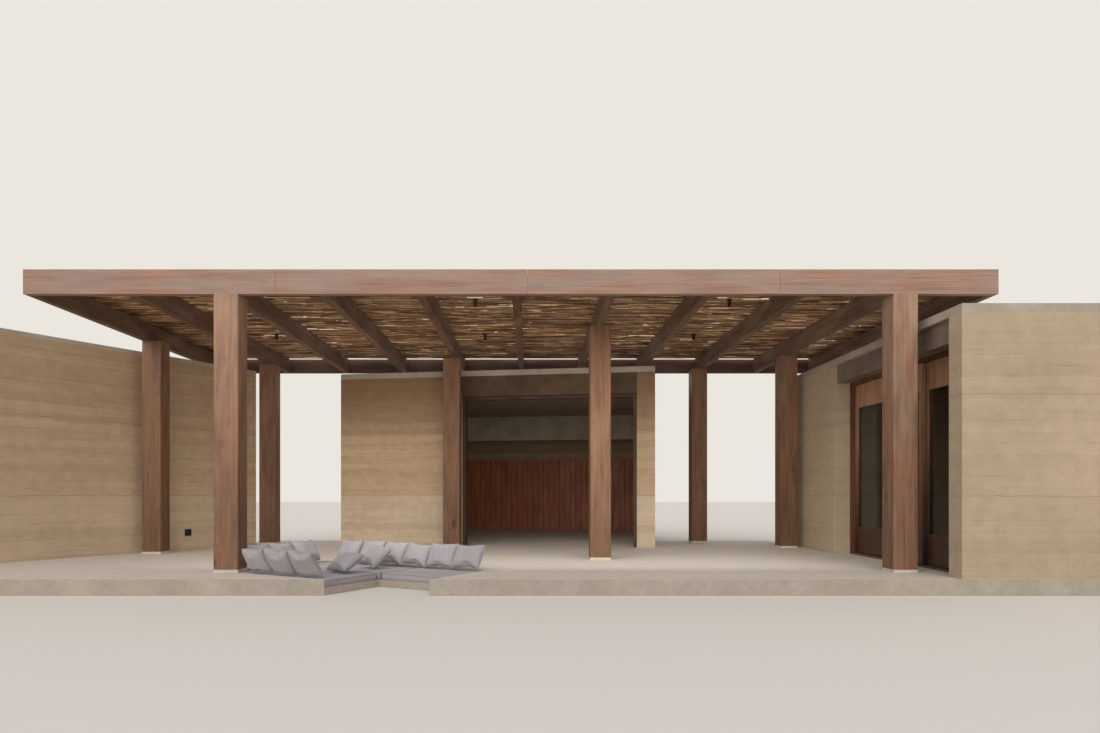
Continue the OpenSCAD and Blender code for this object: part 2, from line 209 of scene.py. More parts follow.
@dataclass(frozen=True)
class RammedEarth(Finish):
    """Earth rammed in a form, layer on layer: matt, in soft level bands with wispy dark seams.

    It has a dry line where each lift of the form ended, and grit all over.
    """

    earth: str = "#bfa789"
    clay: str = "#a48a68"
    sand: str = "#d0bc9b"
    joint: str = "#755e43"
    clay_share: float = 0.26
    sand_share: float = 0.35
    # The lowest lift is paler and greyer, and from the third lift up the earth is darker and browner:
    # painted shade under the roof
    pale_foot: str = "#c6b9a2"
    roof_shade: str = "#846649"
    pale_foot_share: float = 0.4
    roof_shade_share: float = 0.15
    # A form is this high and this long, and leaves a line where it was moved
    lift_mm: float = 1150
    form_mm: float = 1220
    lift_line: float = 0.6
    form_line: float = 0.16
    joint_mm: float = 11
    # Each layer is rammed down to about this
    layer_mm: float = 125
    strata_mm: float = 56
    strata_run_mm: float = 2100
    # Streaky and quiet layers take turns about this far apart
    bed_mm: float = 420
    # How strongly the layers show
    banding: float = 1.0
    seam_mm: float = 15
    seam_run_mm: float = 620
    # No layer is quite level: it rises and falls by this, in long swings and short ones
    wobble_mm: float = 34
    drift_mm: float = 1428.57
    ripple_mm: float = 322.581
    mottle_mm: float = 142.857
    # Real grit is 2 to 4 mm, drawn coarser so that it shows
    grit_mm: float = 10

    def paint(self, add: Adder) -> dict[str, Source | float]:
        """Adds bands, seams, joints and grit.

        Args:
            add: Adds a node to the material's tree.

        Returns:
            What goes into the shader's inputs.
        """
        at = add("TexCoord").outputs["Object"]
        facing = add("NewGeometry").outputs["True Normal"]
        level_way = add("VectorMath", ((0, 0, 1), facing), operation="CROSS_PRODUCT")
        along = add("VectorMath", (at, level_way), operation="DOT_PRODUCT")
        drift, ripple, mottle, grit = (
            add("TexNoise", {"Vector": at, "Scale": 1 / (size * MM), "Detail": detail})
            for size, detail in ((self.drift_mm, 3.0), (self.ripple_mm, 2.0),
                                 (self.mottle_mm, 5.0), (self.grit_mm, 2.0)))
        height = add("SeparateXYZ", (at,)).outputs["Z"]
        for swing in (drift, ripple):
            height = add("Math", (swing, self.wobble_mm * MM, height), operation="MULTIPLY_ADD")
        face = add("CombineXYZ", (along, height))
        strata, wisp = (
            add("TexNoise", {
                "Vector": add("Mapping", {
                    "Vector": face, "Scale": (1 / (run_mm * MM), 1 / (apart_mm * MM), 1)}),
                "Scale": 1.0, "Detail": detail, "Roughness": rough}, noise_dimensions="2D")
            for run_mm, apart_mm, detail, rough in ((self.strata_run_mm, self.strata_mm, 3.0, 0.5),
                                                    (self.seam_run_mm, self.seam_mm, 2.0, 0.6)))
        beds, layers, lifts = (
            add("Math", (height, size * MM), operation="DIVIDE")
            for size in (self.bed_mm, self.layer_mm, self.lift_mm))
        bed = add("TexNoise", {"W": beds, "Scale": 1.0, "Detail": 1.0}, noise_dimensions="1D")
        number = add("Math", (layers,), operation="FLOOR")
        layer = add("TexWhiteNoise", {"W": number}, noise_dimensions="1D")
        # How far it is to where layers, lifts and lengths of the form meet
        from_seam, from_lift, from_form = (
            add("Math", (place, every / 2), operation="PINGPONG")
            for place, every in ((layers, 1), (height, self.lift_mm * MM), (along, self.form_mm * MM)))
        # How strongly the seams and the form's lines show
        meet, spare, lift, form, broken = (add("MapRange", row) for row in (
            (from_seam, 0.0, 0.1, 0.45, 0.04),
            (wisp, 0.52, 0.72, 0.0, 1.0),
            (from_lift, 0.0, self.joint_mm * MM, self.lift_line, 0.0),
            (from_form, 0.0, self.joint_mm * MM, self.form_line, 0.0),
            (mottle, 0.36, 0.6, 0.3, 1.0)))
        # How streaky the beds are, how much there is of each earth, the paler foot, and the painted shade
        # from the third lift up
        streaky, clay, sand, pale_foot, third, high = (add("MapRange", row) for row in (
            (bed, 0.4, 0.62, 0.25 * self.banding, self.banding),
            (strata, 0.54, 0.3, 0.0, self.clay_share),
            (strata, 0.5, 0.74, 0.0, self.sand_share),
            (lifts, 0.97, 1.03, self.pale_foot_share, 0.0),
            (lifts, 1.97, 2.03, 0.0, 1.0),
            (lifts, 2.0, 2.72, 0.3 * self.roof_shade_share, self.roof_shade_share)))
        levels = [add("MapRange", row) for row in (
            (grit, *NOISE, 0.93, 1.07),
            (layer, 0.0, 1.0, 1 - 0.07 * self.banding, 1 + 0.05 * self.banding),
            (drift, *NOISE, 0.92, 1.08),
            (mottle, *NOISE, 0.93, 1.07))]
        joint = add("Math", (lift, form), operation="MAXIMUM")
        # Seams lie mostly where one layer meets the next
        seam, joint, clay, sand, roof_shade = (
            add("Math", pair, operation="MULTIPLY")
            for pair in ((spare, meet), (joint, broken), (clay, streaky), (sand, streaky), (high, third)))
        lines = add("Math", (joint, seam), operation="MAXIMUM")
        # The last coat darkens the upper lifts: painted shade under the roof
        coats = [(clay, self.clay), (sand, self.sand), (pale_foot, self.pale_foot), (roof_shade, self.roof_shade)]
        body = coated(add, srgb(self.earth), coats, levels)
        relief = add("Math", (strata, 0.4, grit), operation="MULTIPLY_ADD")
        relief = add("Math", (relief, lines), operation="SUBTRACT")
        return {"Base Color": coated(add, body, [(lines, self.joint)]),
                "Normal": add("Bump", {"Height": relief, "Strength": 0.4, "Distance": 0.004})}


@dataclass(frozen=True)
class CastConcrete(Finish):
    """Concrete cast in smooth forms and floated on top: matt, in faint clouds with small pores.

    Faces that look upward are paler: painted light from above.
    """

    grey: str = "#b0a89b"
    damp: str = "#a9a194"
    bloom: str = "#b8b0a4"
    # Painted light on faces that look upward
    upward_light: str = "#dcd5ca"
    cloud_mm: float = 480
    mottle_mm: float = 71.4286
    # Real pores are 1 to 3 mm, drawn coarser so that they show
    pore_mm: float = 22

    def paint(self, add: Adder) -> dict[str, Source | float]:
        """Adds clouds, mottling and pores.

        Args:
            add: Adds a node to the material's tree.

        Returns:
            What goes into the shader's inputs.
        """
        at = add("TexCoord").outputs["Object"]
        clouds = add("TexNoise", {"Vector": at, "Scale": 1 / (self.cloud_mm * MM), "Detail": 6.0,
                                  "Roughness": 0.6})
        mottle = add("TexNoise", {"Vector": at, "Scale": 1 / (self.mottle_mm * MM), "Detail": 4.0})
        pores = add("TexVoronoi", {"Vector": at, "Scale": 1 / (self.pore_mm * MM)})
        facing = add("NewGeometry").outputs["True Normal"]
        upward = add("SeparateXYZ", (facing,)).outputs["Z"]
        damp, bloom, upward_light, fleck, pit = (add("MapRange", row) for row in (
            (clouds, 0.52, 0.36, 0.0, 1.0),
            (clouds, 0.5, 0.66, 0.0, 1.0),
            # Upward faces paler: painted light from above
            (upward, 0.5, 0.9, 0.0, 0.8),
            (mottle, *NOISE, 0.93, 1.06),
            (pores, 0.06, 0.16, 0.82, 1.0)))
        coats = [(damp, self.damp), (bloom, self.bloom), (upward_light, self.upward_light)]
        relief = add("Math", (mottle, 0.6, pit), operation="MULTIPLY_ADD")
        return {"Base Color": coated(add, srgb(self.grey), coats, (fleck, pit)),
                "Normal": add("Bump", {"Height": relief, "Strength": 0.3, "Distance": 0.003})}


@dataclass(frozen=True)
class OiledTimber(Finish):
    """Softwood sawn and oiled: long grain, dark knots, and a grey bloom where sun and rain have been."""

    heart: str = "#906246"
    late: str = "#6c422e"
    early: str = "#ac7c5c"
    weathered: str = "#94806e"
    knot: str = "#4a2d20"
    run: Run = Run.UPRIGHT
    late_share: float = 0.75
    early_share: float = 0.6
    bloom: float = 0.5
    # How far the grey takes over between these heights, and the tones of the foot and the top: painted shade
    # at the foot and painted light at the top
    bleach: float = 0.0
    bleach_from_m: float = 0.6
    bleach_to_m: float = 3.4
    foot_shade: float = 0.74
    top_light: float = 1.25
    # Oil soaks in unevenly and leaves long dark stains
    stain_mm: float = 120
    stain_run_mm: float = 760
    stain_tone: float = 0.72
    grain_mm: float = 17
    grain_run_mm: float = 900
    # The finest real grain is about 1 mm, drawn coarser so that it shows
    fibre_mm: float = 5
    fibre_run_mm: float = 160
    patch_mm: float = 210
    patch_run_mm: float = 1100
    knot_mm: float = 46
    knot_apart_mm: float = 380
    # How much further apart knots are along the grain, how far the grain swirls round one, and by how much
    knot_stretch: float = 2.4
    swirl_reach: float = 3.2
    swirl_m: float = 0.05

    def paint(self, add: Adder) -> dict[str, Source | float]:
        """Adds grain, knots and weathering.

        Args:
            add: Adds a node to the material's tree.

        Returns:
            What goes into the shader's inputs.
        """
        at = add("TexCoord").outputs["Object"]
        apart, size = self.knot_apart_mm, self.knot_mm / self.knot_apart_mm
        knot_at = add("Mapping", {"Vector": at, "Scale": self.run.scales(self.knot_stretch * apart, apart)})
        knots = add("TexVoronoi", {"Vector": knot_at, "Scale": 1.0})
        swirl = add("MapRange", (knots, 0.0, self.swirl_reach * size, self.swirl_m, 0.0))
        bent = add("VectorMath", (at, swirl), operation="ADD")
        grain, fibre, patch, soaked = (
            add("TexNoise", {
                "Vector": add("Mapping", {
                    "Vector": place, "Location": aside, "Scale": self.run.scales(run_mm, across_mm)}),
                "Scale": 1.0, **more})
            for place, run_mm, across_mm, aside, more in (
                (bent, self.grain_run_mm, self.grain_mm, (0, 0, 0), {"Detail": 3.0, "Distortion": 0.5}),
                (at, self.fibre_run_mm, self.fibre_mm, (0, 0, 0), {"Detail": 2.0}),
                (at, self.patch_run_mm, self.patch_mm, (0, 0, 0), {"Detail": 3.0}),
                (bent, self.stain_run_mm, self.stain_mm, ASIDE, {"Detail": 3.0, "Roughness": 0.6})))
        late, early, grey, knot, fleck, stain, gloss = (add("MapRange", row) for row in (
            (grain, 0.5, 0.3, 0.0, self.late_share),
            (grain, 0.5, 0.7, 0.0, self.early_share),
            (patch, 0.42, 0.62, self.bloom * 0.15, self.bloom),
            (knots, 0.25 * size, size, 1.0, 0.0),
            (fibre, *NOISE, 0.92, 1.08),
            (soaked, 0.44, 0.66, 1.06, self.stain_tone),
            (patch, 0.35, 0.65, self.roughness - 0.1, self.roughness + 0.1)))
        levels = [fleck, stain]
        if self.bleach:
            height = add("SeparateXYZ", (at,)).outputs["Z"]
            aloft = add("MapRange", (height, self.bleach_from_m, self.bleach_to_m, 0.0, self.bleach))
            # Darker at the foot and lighter at the top: painted shade and painted light by height
            fading_and_height_shade = add("MapRange", (aloft, 0.0, self.bleach, self.foot_shade, self.top_light))
            grey = add("Math", (grey, aloft), operation="ADD", use_clamp=True)
            levels.append(fading_and_height_shade)
        coats = [(late, self.late), (early, self.early), (grey, self.weathered), (knot, self.knot)]
        relief = add("Math", (grain, 0.6, fibre), operation="MULTIPLY_ADD")
        return {"Base Color": coated(add, srgb(self.heart), coats, levels), "Roughness": gloss,
                "Normal": add("Bump", {"Height": relief, "Strength": 0.35, "Distance": 0.003})}


@dataclass(frozen=True)
class DryCane(Finish):
    """Wild cane, cut and dried in its skin: waxy ochre to brown, ringed at its nodes.

    Each cane has its own tone and streaks along it, and pale patches are painted light where light falls
    through the gaps between canes.
    """

    ripe: str = "#866248"
    brown: str = "#483025"
    straw_and_light: str = "#f0d0a4"
    ring: str = "#4d3628"
    brown_share: float = 0.85
    straw_share: float = 0.4
    ring_every_mm: float = 310
    ring_mm: tuple[float, float] = (3, 11)
    # How far along a cane its tone moves its rings
    ring_shift_m: float = 7.0
    streak_mm: float = 5
    streak_run_mm: float = 500
    # Canes of one cutting lie together and have weathered alike, in patches of about this size
    patch_mm: float = 95
    patch_run_mm: float = 820
    # Pale patches of painted light, where light falls through the gaps onto the canes
    lit_patch_mm: float = 34
    lit_patch_run_mm: float = 480

    def paint(self, add: Adder) -> dict[str, Source | float]:
        """Adds each cane's tone, streaks and rings.

        Args:
            add: Adds a node to the material's tree.

        Returns:
            What goes into the shader's inputs.
        """
        at = add("TexCoord").outputs["Object"]
        streak, patch, lit_patch = (
            add("TexNoise", {
                "Vector": add("Mapping", {"Vector": at, "Scale": Run.ALONG_X.scales(run_mm, across_mm)}),
                "Scale": 1.0, **more})
            for run_mm, across_mm, more in (
                (self.streak_run_mm, self.streak_mm, {"Detail": 2.0}),
                (self.patch_run_mm, self.patch_mm, {"Detail": 2.0}),
                (self.lit_patch_run_mm, self.lit_patch_mm, {"Detail": 1.0, "Distortion": 0.6})))
        tone = add("Attribute", attribute_name=CaneMat.TONE).outputs["Fac"]
        along = add("SeparateXYZ", (at,)).outputs["X"]
        shift = add("Math", (tone, self.ring_shift_m, along), operation="MULTIPLY_ADD")
        near = add("Math", (shift, self.ring_every_mm * MM / 2), operation="PINGPONG")
        alike = add("MapRange", (patch, 0.34, 0.66, -0.4, 0.4))
        tone = add("Math", (tone, alike), operation="ADD", use_clamp=True)
        brown, pale, painted_light, ring, level = (add("MapRange", row) for row in (
            (tone, 0.5, 0.0, 0.0, self.brown_share),
            (tone, 0.55, 1.0, 0.0, self.straw_share),
            (lit_patch, 0.59, 0.64, 0.0, 1.0),
            (near, self.ring_mm[0] * MM, self.ring_mm[1] * MM, 0.75, 0.0),
            (streak, *NOISE, 0.84, 1.14)))
        pale = add("Math", (pale, painted_light), operation="MAXIMUM")
        # The pale coat is the canes' own straw tone and, in the patches, painted light
        coats = [(brown, self.brown), (pale, self.straw_and_light), (ring, self.ring)]
        return {"Base Color": coated(add, srgb(self.ripe), coats, (level,)),
                "Normal": add("Bump", {"Height": ring, "Strength": 0.5, "Distance": 0.002})}


@dataclass(frozen=True)
class WovenLinen(Finish):
    """Outdoor linen woven in a plain weave: matt, with a faint sheen at the edges and slubs in the yarn."""

    yarn: str = "#a8a5a9"
    shade: str = "#8f8c91"
    light: str = "#bdbabc"
    # Real threads are about 0.6 mm apart, drawn coarser so that they show
    thread_mm: float = 5
    # A wave texture has this many waves where its scale gives one
    waves_per_scale: float = 6.3
    slub_mm: float = 16.6667
    fade_mm: float = 250
    sheen: float = 0.15

    def paint(self, add: Adder) -> dict[str, Source | float]:
        """Adds the weave, slubs and fading.

        Args:
            add: Adds a node to the material's tree.

        Returns:
            What goes into the shader's inputs.
        """
        at = add("TexCoord").outputs["Object"]
        waves = 1 / (self.thread_mm * MM) / self.waves_per_scale
        warp, weft = (
            add("TexWave", {"Vector": at, "Scale": waves, "Distortion": 1.2},
                bands_direction=way).outputs[1] for way in "XY")
        weave = add("Math", (warp, weft), operation="MULTIPLY")
        slub, fade = (
            add("TexNoise", {"Vector": at, "Scale": 1 / (size * MM), "Detail": detail})
            for size, detail in ((self.slub_mm, 3.0), (self.fade_mm, 2.0)))
        fading_and_height_shade = add("MapRange", (fade, 0.35, 0.65, 0.35, 0.8))
        level = add("MapRange", (slub, *NOISE, 0.92, 1.08))
        coats = [(weave, self.light), (fading_and_height_shade, self.yarn)]
        return {"Base Color": coated(add, srgb(self.shade), coats, (level,)),
                "Sheen Weight": self.sheen,
                "Normal": add("Bump", {"Height": weave, "Strength": 0.3, "Distance": 0.001})}


@dataclass(frozen=True)
class FloatGlass(Finish):
    """Float glass in a thick pane: clear, faintly grey-green, mirror-smooth but for slight dust."""

    tint: str = "#c9d3d0"
    ior: float = 1.52
    film_mm: float = 333.333
    film: float = 0.06

    def paint(self, add: Adder) -> dict[str, Source | float]:
        """Adds the tint and dust.

        Args:
            add: Adds a node to the material's tree.

        Returns:
            What goes into the shader's inputs.
        """
        at = add("TexCoord").outputs["Object"]
        dust = add("TexNoise", {"Vector": at, "Scale": 1 / (self.film_mm * MM), "Detail": 5.0})
        film = add("MapRange", (dust, 0.45, 0.75, self.roughness, self.roughness + self.film))
        return {"Base Color": srgb(self.tint), "Roughness": film, "Transmission Weight": 1.0,
                "IOR": self.ior}


@dataclass(frozen=True)
class PowderCoat(Finish):
    """Aluminium powder-coated matt black: a fine orange peel and a little dust on top."""

    black: str = "#1d1b1a"
    dust: str = "#46413c"
    peel_mm: float = 2.5
    dust_mm: float = 33.3333

    def paint(self, add: Adder) -> dict[str, Source | float]:
        """Adds the peel and dust.

        Args:
            add: Adds a node to the material's tree.

        Returns:
            What goes into the shader's inputs.
        """
        at = add("TexCoord").outputs["Object"]
        peel, settled = (
            add("TexNoise", {"Vector": at, "Scale": 1 / (size * MM), "Detail": detail})
            for size, detail in ((self.peel_mm, 1.0), (self.dust_mm, 4.0)))
        dusty = add("MapRange", (settled, 0.5, 0.8, 0.0, 0.5))
        return {"Base Color": coated(add, srgb(self.black), [(dusty, self.dust)]),
                "Normal": add("Bump", {"Height": peel, "Strength": 0.2, "Distance": 0.0005})}


EARTH = RammedEarth("rammed_earth", "earth", 0.92)
# The living room's walls: strong painted shade at the top, under the roof, and a paler foot
SHADED_TOP_EARTH = RammedEarth("top_shaded_rammed_earth", "earth", 0.92, pale_foot_share=0.65, roof_shade_share=0.82, banding=1.2)
PALE_EARTH = RammedEarth("pale_rammed_earth", "pale_earth", 0.92, earth="#b9a990", clay="#a8967a",
                         sand="#c7baa2", joint="#8f7b5f", banding=0.6, pale_foot_share=0.0, roof_shade_share=0.0)
CONCRETE = CastConcrete("cast_concrete", "concrete", 0.8)
# Darker copies of the cast concrete for the lintels: painted shade, deepest on the living room's lintel
LINTEL_SHADE_CONCRETE = CastConcrete("shaded_concrete", "concrete", 0.8, grey="#7b6e62", damp="#6d6156",
                             bloom="#887a6e", upward_light="#887a6e")
DEEP_LINTEL_SHADE_CONCRETE = CastConcrete("deep_lintel_shade_concrete", "concrete", 0.85, grey="#5f4c3c", damp="#534233",
                              bloom="#6c5847", upward_light="#6c5847")
PAD_CONCRETE = CastConcrete("pale_concrete", "concrete", 0.75, grey="#c9c0b1", damp="#b9b0a0",
                            bloom="#d4ccbe", upward_light="#d4ccbe")
# The front posts are darker at the foot and lighter towards the top: painted shade and painted light
POST_TIMBER = OiledTimber("oiled_post_timber", "timber", 0.62, bleach=0.4, top_light=1.38)
# A darker copy of the post timber for the posts under the roof: painted shade, with less grey weathering
SHADED_SHELTERED_TIMBER = OiledTimber("oiled_shaded_sheltered_timber", "timber", 0.58, heart="#7f5539", late="#5f3824",
                               early="#986c4b", weathered="#826f5b", bloom=0.4, bleach=0.2)
FASCIA_TIMBER = OiledTimber("weathered_fascia_timber", "timber", 0.7, run=Run.ALONG_X, bloom=0.75,
                            heart="#a07b68", late="#845f51", early="#b49482", weathered="#a49289",
                            knot="#7b5a4b", knot_mm=12, stain_tone=0.9)
RAFTER_TIMBER = OiledTimber("oiled_rafter_timber", "timber", 0.66, run=Run.ALONG_Y, heart="#6f5141",
                            late="#51392d", early="#866752")
BEAM_TIMBER = OiledTimber("oiled_beam_timber", "timber", 0.66, run=Run.ALONG_X, heart="#5f4135",
                          late="#462e25", early="#745344", weathered="#7d6859")
DOOR_TIMBER = OiledTimber("oiled_door_timber", "dark_timber", 0.42, heart="#69422f", late="#4b2d20",
                          early="#7d5139", weathered="#5f4435", knot="#2f1c13", bloom=0.15,
                          grain_mm=11, knot_apart_mm=900)
# The door leaves: painted shade darkens the low panels, and the pale grey and lighter tone at the top are
# painted light
LEAF_TIMBER = OiledTimber("oiled_leaf_timber", "dark_timber", 0.38, heart="#6e4835", late="#503226",
                          early="#85593f", weathered="#b08f73", knot="#3a2519", bloom=0.12,
                          bleach=0.4, bleach_from_m=0.5, bleach_to_m=2.2, foot_shade=0.33, top_light=1.5,
                          grain_mm=11, knot_apart_mm=900)
FRAME_TIMBER = OiledTimber("oiled_frame_timber", "dark_timber", 0.5, heart="#4c3428", late="#39261c",
                           early="#5c4132", weathered="#4c3a30", knot="#261811", bloom=0.15,
                           grain_mm=11, knot_apart_mm=900)
PANEL_TIMBER = OiledTimber("oiled_board_timber", "dark_timber", 0.5, heart="#b16845", late="#8a4c33",
                           early="#c47e57", weathered="#9a6a52", knot="#55301f", bloom=0.2,
                           grain_mm=12, knot_apart_mm=700)
CANE = DryCane("dry_cane", "cane", 0.6)
LINEN = WovenLinen("woven_linen", "cushion", 0.9)
GLASS = FloatGlass("float_glass", "glass", 0.02)
BLACK = PowderCoat("black_powder_coat", "black_metal", 0.55)


@dataclass
class PlacedBox:
    """A box of the frame in any turn: its middle, its three unit axes and its sizes along them."""

    middle: Vector
    axes: tuple[Vector, Vector, Vector]
    sizes: tuple[float, float, float]

    @classmethod
    def all_in(cls, node: str) -> list["PlacedBox"]:
        """Finds every box-shaped solid of a CAD node.

        Args:
            node: The node's name. Each of its solids has eight corners.

        Returns:
            One box for each solid, its thinnest side first and its most upright side last.
        """
        weld = 0.5 * MM
        made = bmesh.new()
        made.from_mesh(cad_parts[node].data)
        bmesh.ops.remove_doubles(made, verts=made.verts, dist=weld)
        made.verts.ensure_lookup_table()
        left, boxes = set(made.verts), []
        for start in list(made.verts):
            if start not in left:
                continue
            island, stack = [], [start]
            left.discard(start)
            while stack:
                corner = stack.pop()
                island.append(corner.co.copy())
                for edge in corner.link_edges:
                    other = edge.other_vert(corner)
                    if other in left:
                        left.discard(other)
                        stack.append(other)
            boxes.append(cls.from_corners(island))
        made.free()
        return boxes

    @classmethod
    def from_corners(cls, corners: list[Vector]) -> "PlacedBox":
        """Makes a box of its eight corners.

        Args:
            corners: The corners in any order.

        Returns:
            The box, its thinnest side first and its most upright side last.
        """
        square = 1e-3
        sides: list[Vector] = []
        for side in sorted((c - corners[0] for c in corners[1:]), key=lambda s: s.length):
            if all(abs(side.normalized().dot(s.normalized())) < square for s in sides):
                sides.append(side)
        thin, *wide = sides[:3]
        wide.sort(key=lambda s: abs(s.normalized().z))
        across, up = wide
        if up.z < 0:
            up = -up
        middle = sum(corners, Vector()) / len(corners)
        axes = (thin.normalized(), across.normalized(), up.normalized())
        return cls(middle, axes, (thin.length, across.length, up.length))

    def matrix(self) -> Matrix:
        """Carries the box's own thin, across and up to the row frame.

        Returns:
            The turn and the place.
        """
        thin, across, up = self.axes
        if thin.cross(across).dot(up) < 0:
            across = -across
        turn = Matrix((thin, across, up)).transposed().to_4x4()
        return Matrix.Translation(self.middle) @ turn


def put(name: str, data: bpy.types.ID) -> bpy.types.Object:
    """Makes an object and puts it in the scene.

    Args:
        name: The object's name.
        data: Its mesh, lamp or camera.

    Returns:
        The new object.
    """
    made = bpy.data.objects.new(name, data)
    bpy.context.scene.collection.objects.link(made)
    return made


def mesh_piece(name: str, points: list, faces: list) -> bpy.types.Object:
    """Makes a mesh object in the row frame that rides on the house.

    Args:
        name: The piece's name.
        points: Its vertices in metres.
        faces: Its faces, as vertex numbers.

    Returns:
        The new object.
    """
    data = bpy.data.meshes.new(name)
    data.from_pydata([tuple(p) for p in points], [], faces)
    data.update()
    piece = put(name, data)
    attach(piece, HOUSE)
    return piece


@dataclass
class Carcass:
    """Walls, slabs and timbers whose CAD shape is shown as it is, each in its finish; some finishes are
    darker copies that carry painted shade.
    """

    finishes: dict[Finish, tuple[str, ...]] = field(default_factory=lambda: {
        EARTH: ("garden_wall",),
        SHADED_TOP_EARTH: ("living_front_wall", "living_front_pier", "living_left_wall",
                      "living_right_wall", "living_rear_wall"),
        PALE_EARTH: ("side_room_front_wall", "side_room_side_wall", "side_room_rear_wall",
                     "side_room_outer_wall"),
        CONCRETE: ("terrace", "pit_bench", "garden_wall_coping", "living_floor", "living_roof",
                   "side_room_floor", "side_room_roof"),
        LINTEL_SHADE_CONCRETE: ("side_room_lintel",),
        DEEP_LINTEL_SHADE_CONCRETE: ("living_lintel",),
        PAD_CONCRETE: ("post_pads", "living_inner_beam"),
        POST_TIMBER: ("post_front_left", "post_front_right"),
        SHADED_SHELTERED_TIMBER: ("post_left", "post_left_rear", "post_living_room", "post_centre",
                           "post_rear", "post_right_rear"),
        FASCIA_TIMBER: ("front_fascia",),
        BEAM_TIMBER: ("rear_beam",),
        RAFTER_TIMBER: ("edge_beams", "rafters"),
        FRAME_TIMBER: ("living_opening_frame",),
        DOOR_TIMBER: ("door_frame",),
        LEAF_TIMBER: ("front_leaf", "middle_leaf", "rear_leaf"),
        GLASS: ("front_leaf_glass", "middle_leaf_glass", "rear_leaf_glass"),
        BLACK: ("spotlights", "wall_socket"),
    })

    def build(self) -> None:
        """Gives every carried CAD node its finish."""
        for finish, names in self.finishes.items():
            for name in names:
                finish.dress(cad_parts[name])
            log.info("%s on %d nodes", finish.name, len(names))


@dataclass
class CaneMat:
    """The screen of canes on the rafters, laid in rows of canes end to end, in place of the plain screen."""

    TONE = "cane_tone"
    pitch: float = 26 * MM
    thick: tuple[float, float] = (19 * MM, 24 * MM)
    tip_share: float = 0.8
    length: tuple[float, float] = (1.9, 3.6)
    # Each row starts with the rest of a cane, at least this share of the longest
    first_share: float = 0.3
    # A cane bows by this at most, and sways from side to side by this share of it
    bow: float = 12 * MM
    sway: float = 0.4
    # Canes of a row mostly leave a long slot between their ends, and else only a small gap
    end_gap: tuple[float, float] = (0.01, 0.05)
    slot: tuple[float, float] = (0.25, 0.9)
    slot_chance: float = 0.65
    section: float = 0.32
    sides: int = 6
    seed: int = 11

    def cane(self, rng: random.Random, start: float, end: float, y: float,
             floor: float) -> tuple[list, list]:
        """Makes one bowed and tapered cane.

        Args:
            rng: The source of its irregularity.
            start: X of its left end.
            end: X of its right end.
            y: Where its row lies.
            floor: Height of the rafters' tops.

        Returns:
            Its vertices and its faces.
        """
        thick = rng.uniform(*self.thick)
        ends = (thick, thick * self.tip_share)
        if rng.random() < 0.5:
            ends = ends[::-1]
        bow, sway, phase = rng.uniform(-1, 1), rng.uniform(-1, 1), rng.uniform(0, math.tau)
        count = max(2, round((end - start) / self.section))
        points, faces = [], []
        for i in range(count + 1):
            t = i / count
            radius = (ends[0] + (ends[1] - ends[0]) * t) / 2
            bend = bow * math.sin(math.pi * t) + self.sway * sway * math.sin(math.tau * t + phase)
            across = y + self.bow * bend
            for k in range(self.sides):
                angle = math.tau * (k + 0.5) / self.sides
                points.append((start + (end - start) * t, across + radius * math.cos(angle),
                               floor + radius + radius * math.sin(angle)))
        for i in range(count):
            for k in range(self.sides):
                a, b = i * self.sides + k, i * self.sides + (k + 1) % self.sides
                faces.append((a, a + self.sides, b + self.sides, b))
        faces.append(tuple(range(self.sides)))
        faces.append(tuple(count * self.sides + k for k in reversed(range(self.sides))))
        return points, faces

    def build(self) -> None:
        """Lays the mat and puts it in the plain screen's place."""
        rng = random.Random(self.seed)
        low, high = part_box("cane_screen")
        points, faces, tones = [], [], []
        edge = self.thick[1] / 2 + 1.5 * self.bow
        rows = int((high.y - low.y - 2 * edge) / self.pitch)
        for row in range(rows + 1):
            y = high.y - edge - row * self.pitch
            x = low.x
            end = low.x + rng.uniform(self.first_share, 1.0) * self.length[1]
            while x < high.x - self.end_gap[1]:
                end = min(end, high.x)
                made, joined = self.cane(rng, x, end, y, low.z)
                first = len(points)
                points.extend(made)
                faces.extend(tuple(first + v for v in f) for f in joined)
                tones.extend([rng.random()] * len(made))
                gap = self.slot if rng.random() < self.slot_chance else self.end_gap
                x = end + rng.uniform(*gap)
                end = x + rng.uniform(*self.length)
        mat = mesh_piece("cane_mat", points, faces)
        tone = mat.data.attributes.new(self.TONE, "FLOAT", "POINT")
        tone.data.foreach_set("value", tones)
        mat.data.shade_smooth()
        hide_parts("cane_screen")
        CANE.dress(mat)
        log.info("cane mat: %d rows, %d faces", rows + 1, len(faces))


@dataclass
class BoardPanelling:
    """Upright boards at the back of the living room, in place of the plain panelling."""

    board: float = 142 * MM
    gap: float = 5 * MM
    bevel: float = 4 * MM
    uneven: float = 3 * MM
    seed: int = 5

    def build(self) -> None:
        """Makes the boards, edge to edge, with eased edges and uneven faces."""
        rng = random.Random(self.seed)
        box = PlacedBox.all_in("living_panelling")[0]
        depth, width, height = box.sizes
        place = box.matrix()
        count = round(width / self.board)
        pitch = width / count
        points, faces = [], []
        for i in range(count):
            left = -width / 2 + i * pitch + self.gap / 2
            right = left + pitch - self.gap
            back, front = -depth / 2, depth / 2
            inset = rng.uniform(0, self.uneven)
            back, front = back + inset, front - inset
            b = self.bevel
            outline = [(back + b, left), (front - b, left), (front, left + b), (front, right - b),
                       (front - b, right), (back + b, right), (back, right - b), (back, left + b)]
            first = len(points)
            sides = len(outline)
            for z in (-height / 2, height / 2):
                points.extend(place @ Vector((x, y, z)) for x, y in outline)
            for k in range(sides):
                a, c = first + k, first + (k + 1) % sides
                faces.append((a, c, c + sides, a + sides))
            faces.append(tuple(first + k for k in reversed(range(sides))))
            faces.append(tuple(first + sides + k for k in range(sides)))
        panelling = mesh_piece("board_panelling", points, faces)
        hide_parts("living_panelling")
        PANEL_TIMBER.dress(panelling)
        log.info("panelling: %d boards", count)


